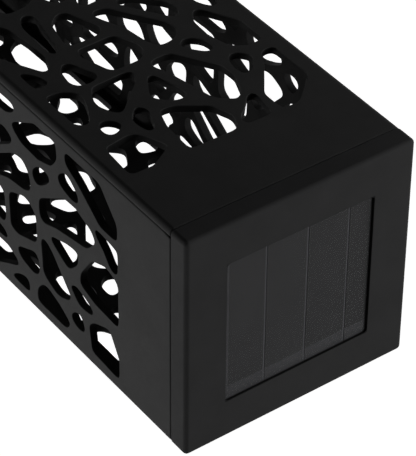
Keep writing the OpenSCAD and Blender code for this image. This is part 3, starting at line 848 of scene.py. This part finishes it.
def drum_side(radius, low, high, corner, steps=5):
    """A profile's outer side, from its lower round corner up to its upper one."""
    return (arc(radius - corner, low + corner, corner, 270, 360, steps)
            + arc(radius - corner, high - corner, corner, 0, 90, steps))


def along_x(bm, x, y, z):
    """Lays a turned piece down along the light, its upright axis towards the right."""
    return moved(bm, (x, y, z), quarter_turns(1, "Y"))


def shrink_sleeve(name, colour, band):
    """Glossy printed film: a dark body with a plain band round one end."""
    finish, tree, shader = new_finish(name, gloss=0.4)
    apart = new_node(tree, "SeparateXYZ", {0: own_place(tree)})
    band_start = cell_high.x - band_length
    in_band = mapped(tree, apart.outputs["X"], (band_start, band_start + 0.1 * MM), (0, 1))
    body = mottled(tree, grain(tree, 5 * MM), colour, 0.9, 1)
    feed(tree, shader, {
        "Base Color": blended(tree, in_band, body, band),
        "Roughness": uneven(tree, 2 * MM, 0.18, 0.3),
        "Normal": raised(tree, grain(tree, 1.2 * MM, detail=3), 0.03 * MM)})
    return finish


sleeve_bm = turned([(lip_r, lip_in)] + drum_side(cell_r, 0, can_len, sleeve_round)
                   + [(lip_r, can_len - lip_in), (lip_r, can_len - sleeve)]
                   + arc(cell_r - can_round, can_len - can_round, can_round - sleeve, 90, 0)
                   + arc(cell_r - can_round, can_round, can_round - sleeve, 360, 270)
                   + [(lip_r, sleeve), (lip_r, lip_in)], 48)
add_piece("battery_sleeve", along_x(sleeve_bm, cell_low.x, cell_y, cell_z),
          shrink_sleeve("green_sleeve", (0.035, 0.16, 0.06), (0.55, 0.56, 0.54)), "head", "cell_sleeve",
          "battery_cell")
can_bm = turned([(0, 0)] + drum_side(can_r, 0, can_top, can_round)
                + [(button_r + 0.5 * MM, can_top), (button_r + 0.3 * MM, can_len)]
                + arc(button_r - button_round, can_len + button_out - button_round, button_round, 0, 90)
                + [(0, can_len + button_out)], 48)
nickel = plated_metal("nickel_plate", (0.62, 0.60, 0.55), rough=0.24)
add_piece("battery_can", along_x(can_bm, cell_low.x, cell_y, cell_z), nickel, "head", "contact_nickel",
          "battery_cell")


# Battery contacts. Nickelled spring steel: a plate with a pressed dimple for the button, and a plate with
# a conical coil of wire that pushes the cell against it.
coil_low, coil_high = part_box("spring_contact")
contact_plate = 0.4 * MM
blade_corner = 0.8 * MM
blade_break = 0.06 * MM
coil_wire = 0.5 * MM
coil_turns = 3
coil_steps = 28 * coil_turns
coil_radii = (3.9 * MM, 2.4 * MM)
dimple_low, dimple_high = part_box("button_contact")
dimple_back = dimple_high.x - dimple_low.x
dimple_r = 2.0 * MM
dimple_shoulder = 0.45 * MM
dimple_tip = 0.9 * MM
dimple_round = 0.3 * MM


def rod_along(points, thickness, rounding=2):
    """A round wire along a line of points, closed at its ends. More rounding gives it more sides."""
    curve = bpy.data.curves.new("rod", "CURVE")
    curve.dimensions = "3D"
    curve.bevel_depth = thickness / 2
    curve.bevel_resolution = rounding
    curve.use_fill_caps = True
    line = curve.splines.new("POLY")
    line.points.add(len(points) - 1)
    for point, place in zip(line.points, points):
        point.co = (*place, 1)
    bm = as_bmesh(placed("rod", curve))
    bmesh.ops.remove_doubles(bm, verts=bm.verts, dist=0.0005 * MM)
    bmesh.ops.recalc_face_normals(bm, faces=bm.faces)
    return bm


def contact_blade(x_low, x_high, low, high):
    """The flat plate of a contact, with rounded corners and broken edges."""
    bm = box_between((x_low, low.y, low.z), (x_high, high.y, high.z))
    corners = [e for e in bm.edges if abs(e.verts[0].co.x - e.verts[1].co.x) > contact_plate / 2]
    round_edges(bm, corners, blade_corner, 4)
    round_edges(bm, outer_edges(bm, 60), blade_break, 1)
    return bm


coil_start = coil_low.x + contact_plate + coil_wire / 2
coil_length = cell_low.x - coil_wire / 2 - coil_start
coil_line = []
for t in [i / coil_steps for i in range(coil_steps + 1)]:
    r = coil_radii[0] + (coil_radii[1] - coil_radii[0]) * t
    angle = tau * coil_turns * t
    coil_line.append((coil_start + coil_length * t, cell_y + r * cos(angle), cell_z + r * sin(angle)))
spring_bm = join(contact_blade(coil_low.x, coil_low.x + contact_plate, coil_low, coil_high),
                 rod_along(coil_line, coil_wire))
add_piece("coil_contact", spring_bm, nickel, "head", "contact_nickel", "spring_contact")

dimple = turned([(0, dimple_back), (dimple_r, dimple_back), (dimple_r, dimple_shoulder)]
                + arc(dimple_tip, dimple_round, dimple_round, 0, -90) + [(0, 0)], 24)
button_bm = join(contact_blade(dimple_high.x - contact_plate, dimple_high.x, dimple_low, dimple_high),
                 along_x(dimple, dimple_low.x, cell_y, cell_z))
add_piece("dimple_contact", button_bm, nickel, "head", "contact_nickel", "button_contact")


# Circuit board. Green masked laminate on two posts of the housing, with printed traces and a small dome
# of solder where each lead and leg comes through.
pcb_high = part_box("circuit_board")[1]
chip_low, chip_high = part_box("driver_chip")
choke_low, choke_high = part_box("choke_coil")
can_low, can_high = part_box("capacitor")
pcb_round = 0.08 * MM
mask_rise = 0.05 * MM
trace_width = 0.7 * MM
trace_break = 0.015 * MM
dome_r = 0.85 * MM
dome_height = 0.75 * MM
dome_hollow = 1.6
lamp_legs = 1.27 * MM
sun_pads = (14 * MM, 2 * MM)
cell_pads = (19 * MM, -4 * MM)
choke_legs = 3.6 * MM
can_legs = 3.2 * MM
choke_x, choke_y, _ = middle(choke_low, choke_high)
can_x, can_y, _ = middle(can_low, can_high)

add_piece("circuit_laminate", softened("circuit_board", pcb_round, 60, 1),
          laminate("green_solder_mask", (0.012, 0.075, 0.03)), "head", "pcb_green", "circuit_board")

# Each run of a trace goes through points on the board, in millimetres.
trace_runs = [((-19, -4), (-14, -4), (-14, 2)), ((19, -4), (14, -4), (14, 2)),
              ((-12.2, 3), (-12.2, 9), (-1.9, 9), (-1.9, 11.4)),
              ((12.6, 3), (12.6, 8), (0.6, 8), (0.6, 11.4)),
              ((5.4, 3), (1.27, 3), (1.27, 0)), ((-5.8, 3), (-1.27, 3), (-1.27, 0)),
              ((-1.9, 16.6), (-1.9, 18.4), (6, 18.4)), ((1.9, 16.6), (1.9, 17.4), (-6, 17.4))]
traces = []
for run in trace_runs:
    for ends in zip(run, run[1:]):
        low = [min(along) * MM - trace_width / 2 for along in zip(*ends)]
        high = [max(along) * MM + trace_width / 2 for along in zip(*ends)]
        traces.append(plate((*low, pcb_high.z), (*high, pcb_high.z + mask_rise), trace_break))
add_piece("board_traces", join(*traces), laminate("masked_copper", (0.03, 0.15, 0.05)), "head", "pcb_green")


def solder_dome(x, y):
    side = [(dome_r * cos(radians(a)) ** dome_hollow, dome_height * sin(radians(a)))
            for a in range(15, 76, 15)]
    return moved(turned([(0, 0), (dome_r, 0)] + side + [(0, dome_height)], 14), (x, y, pcb_high.z))


solder = plated_metal("solder", (0.55, 0.56, 0.58), rough=0.28)
domes = [solder_dome(x + side * apart, y) for x, apart, y in
         ((0, lamp_legs, 0), (0, *sun_pads), (0, *cell_pads), (choke_x, choke_legs, choke_y),
          (can_x, can_legs, can_y)) for side in (-1, 1)]
add_piece("solder_joints", join(*domes), solder, "head", "contact_nickel")


# Board screws. Two small pan head screws that hold the circuit board down on its posts.
small_low, small_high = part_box("board_screws")
small_head = (small_high.y - small_low.y) / 2
small_height = 1.2 * MM
small_x, small_y = small_high.x - small_head, middle(small_low, small_high)[1]
small_screw = pan_screw(small_head, small_height, screw_shank, pcb_high.z - small_low.z)
pair = [moved(small_screw.copy(), (side * small_x, small_y, pcb_high.z)) for side in (-1, 1)]
small_screw.free()
add_piece("board_pan_screws", join(*pair), screw_steel, "head", "screw_steel", "board_screws")


# Driver chip. An eight-legged package that charges the cell by day and drives the lamp at night. Black
# moulding compound with a dot by its first leg, and tinned gull-wing legs.
chip_x, chip_y, chip_z = middle(chip_low, chip_high)
chip_lift = 0.15 * MM
chip_round = 0.18 * MM
dot_r = 0.35 * MM
dot_place = (chip_low.x + 0.9 * MM, chip_low.y + 0.8 * MM, chip_high.z + 0.1 * MM)
dot_drop = 0.2 * MM
leg_pitch = 1.27 * MM
leg_width = 0.42 * MM
leg_thick = 0.14 * MM
leg_root = 0.3 * MM
leg_shoulder = 0.25 * MM
leg_heel = (0.5 * MM, 0.16 * MM)
leg_toe = (0.95 * MM, 0.1 * MM)

package = block([b - a - c for a, b, c in zip(chip_low, chip_high, (0, 0, chip_lift))],
                (chip_x, chip_y, chip_z + chip_lift / 2))
round_edges(package, package.edges[:], chip_round)
dot = turned([(0, -dot_drop), (dot_r, -dot_drop), (dot_r, 1 * MM), (0, 1 * MM)], 20)
package = cut_out(package, moved(dot, dot_place))
add_piece("chip_package", package, moulded_plastic("moulding_compound", (0.022, 0.022, 0.023), rough=0.6),
          "head", "chip_black", "driver_chip")


def gull_leg(x, side):
    """One leg, a bent strip that leaves the package half way up and ends on the board."""
    edge = chip_high.y if side > 0 else chip_low.y
    path = [(edge - side * leg_root, chip_z), (edge + side * leg_shoulder, chip_z),
            (edge + side * leg_heel[0], chip_low.z + leg_heel[1]),
            (edge + side * leg_toe[0], chip_low.z + leg_toe[1])]
    bm = bmesh.new()
    verts = [bm.verts.new((x - leg_width / 2, y, z)) for y, z in path]
    draw_out(bm, [bm.edges.new(pair) for pair in zip(verts, verts[1:])], (leg_width, 0, 0))
    bmesh.ops.solidify(bm, geom=bm.faces[:], thickness=leg_thick)
    bmesh.ops.recalc_face_normals(bm, faces=bm.faces)
    return bm


legs = [gull_leg(chip_x + (i - 1.5) * leg_pitch, side) for i in range(4) for side in (-1, 1)]
add_piece("chip_legs", join(*legs), solder, "head", "contact_nickel")


# Choke. A drum of grey ferrite wound with a layer of lacquered copper wire, which the driver chip uses to
# raise the cell's voltage for the lamp.
drum_r = (choke_high.x - choke_low.x) / 2
drum_h = choke_high.z - choke_low.z
drum_round = 0.15 * MM
waist_r = 2.3 * MM
rim_h = 0.8 * MM
drum_hole = (0.6 * MM, 0.3 * MM)
copper_wire = 0.26 * MM
wire_pitch = copper_wire * 1.06
wire_turns = int((drum_h - 2 * rim_h - copper_wire) / wire_pitch)
choke_place = (choke_x, choke_y, choke_low.z)

drum = turned([(0, 0)] + drum_side(drum_r, 0, rim_h, drum_round, 2)
              + [(waist_r - copper_wire, rim_h), (waist_r - copper_wire, drum_h - rim_h)]
              + drum_side(drum_r, drum_h - rim_h, drum_h, drum_round, 2)
              + [(drum_hole[0] + drum_hole[1], drum_h), (drum_hole[0], drum_h - drum_hole[1]),
                 (0, drum_h - drum_hole[1])], 36)
ferrite = moulded_plastic("ferrite", (0.06, 0.058, 0.056), rough=0.7, gloss=0.1, texture=0.3 * MM,
                          height=0.02 * MM)
add_piece("choke_drum", moved(drum, choke_place), ferrite, "head", "choke_ferrite", "choke_coil")
layer = winding(waist_r - copper_wire / 2, copper_wire, wire_pitch, wire_turns, rim_h + copper_wire / 2,
                sides=6, steps=24)
add_piece("choke_winding", moved(layer, choke_place),
          plated_metal("lacquered_copper", (0.48, 0.19, 0.07), rough=0.3), "head", "choke_ferrite")


# Capacitor. A small aluminium can in a blue shrink sleeve, crimped near its foot, with a cross scored in
# its bare top so that it can vent.
small_can_r = (can_high.x - can_low.x) / 2
small_can_h = can_high.z - can_low.z
foot_round = 0.2 * MM
crimp_r = 0.35 * MM
crimp_out = 0.15 * MM
crimp_z = 1.2 * MM
brim_round = 0.35 * MM
brim_drop = 0.05 * MM
brim_r = small_can_r - 0.7 * MM
well_drop = 0.25 * MM
lid_r = small_can_r - 0.72 * MM
lid_drop = 0.04 * MM
lid_under = 0.3 * MM
score = (3.4 * MM, 0.18 * MM)
score_depth = 0.16 * MM

wrap = turned([(0, 0)] + arc(small_can_r - foot_round, foot_round, foot_round, 270, 360, 3)
              + arc(small_can_r + crimp_out, crimp_z, crimp_r, 230, 130, 4)
              + arc(small_can_r - brim_round, small_can_h - brim_drop - brim_round, brim_round, 0, 90, 4)
              + [(brim_r, small_can_h - brim_drop), (brim_r, small_can_h - well_drop),
                 (0, small_can_h - well_drop)], 40)


def blue_film(name):
    finish, tree, shader = new_finish(name, gloss=0.4)
    clouds = grain(tree, 2 * MM, detail=3)
    feed(tree, shader, {"Base Color": two_tones(tree, clouds, (0.012, 0.03, 0.11), (0.016, 0.045, 0.16)),
                        "Roughness": uneven(tree, 1 * MM, 0.2, 0.32)})
    return finish


add_piece("capacitor_sleeve_film", moved(wrap, (can_x, can_y, can_low.z)), blue_film("blue_sleeve"),
          "head", "capacitor_sleeve", "capacitor")
lid = turned([(0, -lid_under), (lid_r, -lid_under), (lid_r, -lid_drop), (0, -lid_drop)], 32)
for size in (score, score[::-1]):
    lid = cut_out(lid, block((*size, score_depth), (0, 0, -lid_drop)))
add_piece("capacitor_lid", moved(lid, (can_x, can_y, can_high.z)),
          plated_metal("aluminium", (0.62, 0.63, 0.64), rough=0.3), "head", "contact_nickel", "capacitor")


# Lamp. A round clear light-emitting diode that hangs from the board into the lens. Inside the epoxy stand
# the cup with its yellow phosphor and the thinner post beside it.
led_low, led_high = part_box("led")
led_r = 2.5 * MM
led_rim = 2.9 * MM
led_rim_height = 1.0 * MM
led_rim_round = 0.15 * MM
led_foot = led_high.z - 1.0 * MM
frame_thick = 0.5 * MM
frame_head = 0.7 * MM
frame_round = 0.08 * MM
frame_x = 0.72 * MM
neck_drop = 0.3 * MM
neck_foot = 0.7 * MM
cup_width, post_width = 1.1 * MM, 0.7 * MM
post_rise = 0.35 * MM
cup_z = led_foot - 3.0 * MM
drop_r = 0.45 * MM
drop_height = 0.28 * MM


def clear_epoxy(name, tint, rough, ior=1.45):
    """Clear or frosted plastic that lets light through."""
    finish, tree, shader = new_finish(name)
    feed(tree, shader, {
        "Base Color": mottled(tree, grain(tree, 2 * MM), tint, 1, 0.97),
        "Roughness": uneven(tree, 1 * MM, rough, rough + 0.04),
        "Transmission Weight": 0.95, "IOR": ior})
    return finish


def phosphor_powder(name):
    finish, tree, shader = new_finish(name, gloss=0.3)
    grains = grain(tree, 0.3 * MM, detail=3)
    feed(tree, shader, {"Base Color": two_tones(tree, grains, (0.75, 0.55, 0.06), (0.85, 0.68, 0.12)),
                        "Roughness": 0.5})
    return finish


rim_low = led_foot - led_rim_height
dome = turned([(0, led_low.z)] + arc(0, led_low.z + led_r, led_r, -85, 0, 12) + [(led_r, rim_low)]
              + drum_side(led_rim, rim_low, led_foot, led_rim_round, 2) + [(0, led_foot)], 40)
add_piece("lamp_epoxy", dome, clear_epoxy("clear_epoxy", (0.93, 0.93, 0.9), 0.04), "head", "led_epoxy",
          "led")
frame_parts = []
for side, rise, width in ((-1, 0, cup_width), (1, post_rise, post_width)):
    top = (side * lamp_legs, 0, led_high.z)
    neck = (side * lamp_legs, 0, led_foot - neck_drop)
    foot = (side * neck_foot, 0, cup_z + frame_head + rise)
    tip = block((width, frame_thick, frame_head), (side * frame_x, 0, cup_z + frame_head / 2 + rise))
    round_edges(tip, tip.edges[:], frame_round)
    frame_parts += [rod_along([top, neck, foot], frame_thick, 1), tip]
add_piece("lamp_frame", join(*frame_parts), solder, "head", "contact_nickel", "led")
drop = turned([(0, 0)] + [(drop_r * cos(radians(a)), -drop_height * sin(radians(a))) for a in (0, 30, 60)]
              + [(0, -drop_height)], 20)
add_piece("lamp_phosphor", moved(drop, (-frame_x, 0, cup_z)), phosphor_powder("phosphor"), "head",
          "led_epoxy")


# Lens. A frosted bowl pressed up through the round hole in the housing's floor and glued by its flange.
# Fine rings inside the bowl spread the light down and out.
lens_low, lens_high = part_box("lens")
lens_flange = (lens_high.x - lens_low.x) / 2
lens_r = lens_flange - 0.8 * MM
lens_wall = 1.2 * MM
lens_break = 0.15 * MM
bowl_depth = 3.0 * MM
bowl_inner_depth = bowl_depth - lens_wall / 2
bowl_rim = lens_low.z + bowl_depth
flange_low = lens_high.z - lens_wall
ring_pitch = 0.9 * MM
ring_rise = 0.12 * MM


def bowl_curve(radius, depth, steps):
    """A shallow round bowl's profile, from its lowest point up to its rim."""
    sphere = (radius ** 2 + depth ** 2) / (2 * depth)
    radii = [radius * i / steps for i in range(steps + 1)]
    return [(r, bowl_rim + sphere - depth - (sphere ** 2 - r ** 2) ** 0.5) for r in radii]


inner = bowl_curve(lens_r - lens_wall, bowl_inner_depth, 28)
inner = [(r, z + ring_rise * (r / ring_pitch % 1)) for r, z in inner[:-1]] + [inner[-1]]
outer = bowl_curve(lens_r, bowl_depth, 20)
lens_bm = turned(inner + [(lens_r - lens_wall, lens_high.z), (lens_flange - lens_break, lens_high.z),
                          (lens_flange, lens_high.z - lens_break), (lens_flange, flange_low),
                          (lens_r, flange_low)] + outer[::-1], 64)
add_piece("frosted_lens", lens_bm, clear_epoxy("frosted_acrylic", (0.92, 0.92, 0.89), 0.38, 1.3), "head",
          "lens_frost", "lens")


# Switch. A small slide switch behind a slot in the housing's floor: a folded steel shell, and a black
# slider whose grooved knob stands below the floor for a fingertip.
shell_round = 0.2 * MM
knob_round = 0.1 * MM
add_piece("switch_shell_steel", softened("switch_body", shell_round, 60),
          plated_metal("tin_plate", (0.42, 0.43, 0.44), rough=0.35), "head", "switch_shell", "switch_body")
add_piece("switch_knob", softened("switch_slider", knob_round, 60),
          moulded_plastic("slider_black", (0.022, 0.022, 0.022), rough=0.5), "switch", "slider_plastic",
          "switch_slider")


# Leads. Insulated wires from the solar board and from the battery contacts to the circuit board, a red
# and a black pair, each bent by hand in smooth corners.
lead_d = 1.2 * MM
bend = 1.6 * MM
sun_low, sun_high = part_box("solar_leads")
sun_x = (4 * MM, sun_high.x - lead_d / 2)
sun_y = (sun_high.y - lead_d / 2, sun_low.y + lead_d / 2)
sun_z = sun_high.z - 3 * MM
wire_low, wire_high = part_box("battery_leads")
wire_x = (wire_high.x - lead_d / 2, cell_pads[0])
wire_y = (wire_low.y + lead_d / 2, wire_high.y - lead_d / 2)
wire_z = wire_high.z - lead_d / 2


def bent_route(points, radius, steps=6):
    """A route through the points with its corners rounded off."""
    points = [Vector(p) for p in points]
    route = [points[0]]
    for before, here, after in zip(points, points[1:], points[2:]):
        start = here + (before - here).normalized() * radius
        end = here + (after - here).normalized() * radius
        for i in range(steps + 1):
            t = i / steps
            route.append(start * (1 - t) ** 2 + here * 2 * t * (1 - t) + end * t ** 2)
    return route + [points[-1]]


def insulation(name, colour):
    finish, tree, shader = new_finish(name, gloss=0.3)
    feed(tree, shader, {
        "Base Color": mottled(tree, grain(tree, 3 * MM, detail=3), colour, 0.85, 1),
        "Roughness": uneven(tree, 0.8 * MM, 0.32, 0.45),
        "Normal": raised(tree, grain(tree, 0.4 * MM, detail=3), 0.015 * MM)})
    return finish


def lead_pair(x, y, top, level, corner):
    """Two mirrored wires. Each drops to the level, goes round the corner there, and drops to the board."""
    routes = [[(side * x[0], y[0], top), (side * x[0], y[0], level), (side * corner[0], corner[1], level),
               (side * x[1], y[1], level), (side * x[1], y[1], pcb_high.z)] for side in (-1, 1)]
    return join(*[rod_along(bent_route(route, bend), lead_d) for route in routes])


sun_pair = lead_pair(sun_x, sun_y, sun_high.z, sun_z, (sun_x[1], sun_y[0]))
wire_pair = lead_pair(wire_x, wire_y, dimple_high.z, wire_z, (wire_x[0], wire_y[1]))
add_piece("solar_wires", sun_pair, insulation("red_vinyl", (0.36, 0.02, 0.016)), "head", "red_wire",
          "solar_leads")
add_piece("battery_wires", wire_pair, insulation("black_vinyl", (0.016, 0.016, 0.017)), "head",
          "black_wire", "battery_leads")


# Battery door. A black moulded flap under the cell. It swings down about the pin, two tongues snap into
# the housing, and a lip along its free edge takes a fingernail.
door_round = 0.18 * MM
add_piece("battery_flap", softened("battery_door", door_round, 60), housing_black, "door",
          "housing_plastic", "battery_door")


# Hinge pin. A straight length of drawn steel wire with broken ends, pressed into the housing's two ears.
pin_low, pin_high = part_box("hinge_pin")
_, pin_y, pin_z = middle(pin_low, pin_high)
pin_r = (pin_high.z - pin_low.z) / 2
pin_len = pin_high.x - pin_low.x
pin_break = 0.2 * MM
pin_bm = turned([(0, 0), (pin_r - pin_break, 0), (pin_r, pin_break), (pin_r, pin_len - pin_break),
                 (pin_r - pin_break, pin_len), (0, pin_len)], 24)
add_piece("hinge_wire_pin", along_x(pin_bm, pin_low.x, pin_y, pin_z), screw_steel, "head", "screw_steel",
          "hinge_pin")


size = {"cad": [list(corner) for corner in cad_box], "visual": [list(corner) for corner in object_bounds()]}
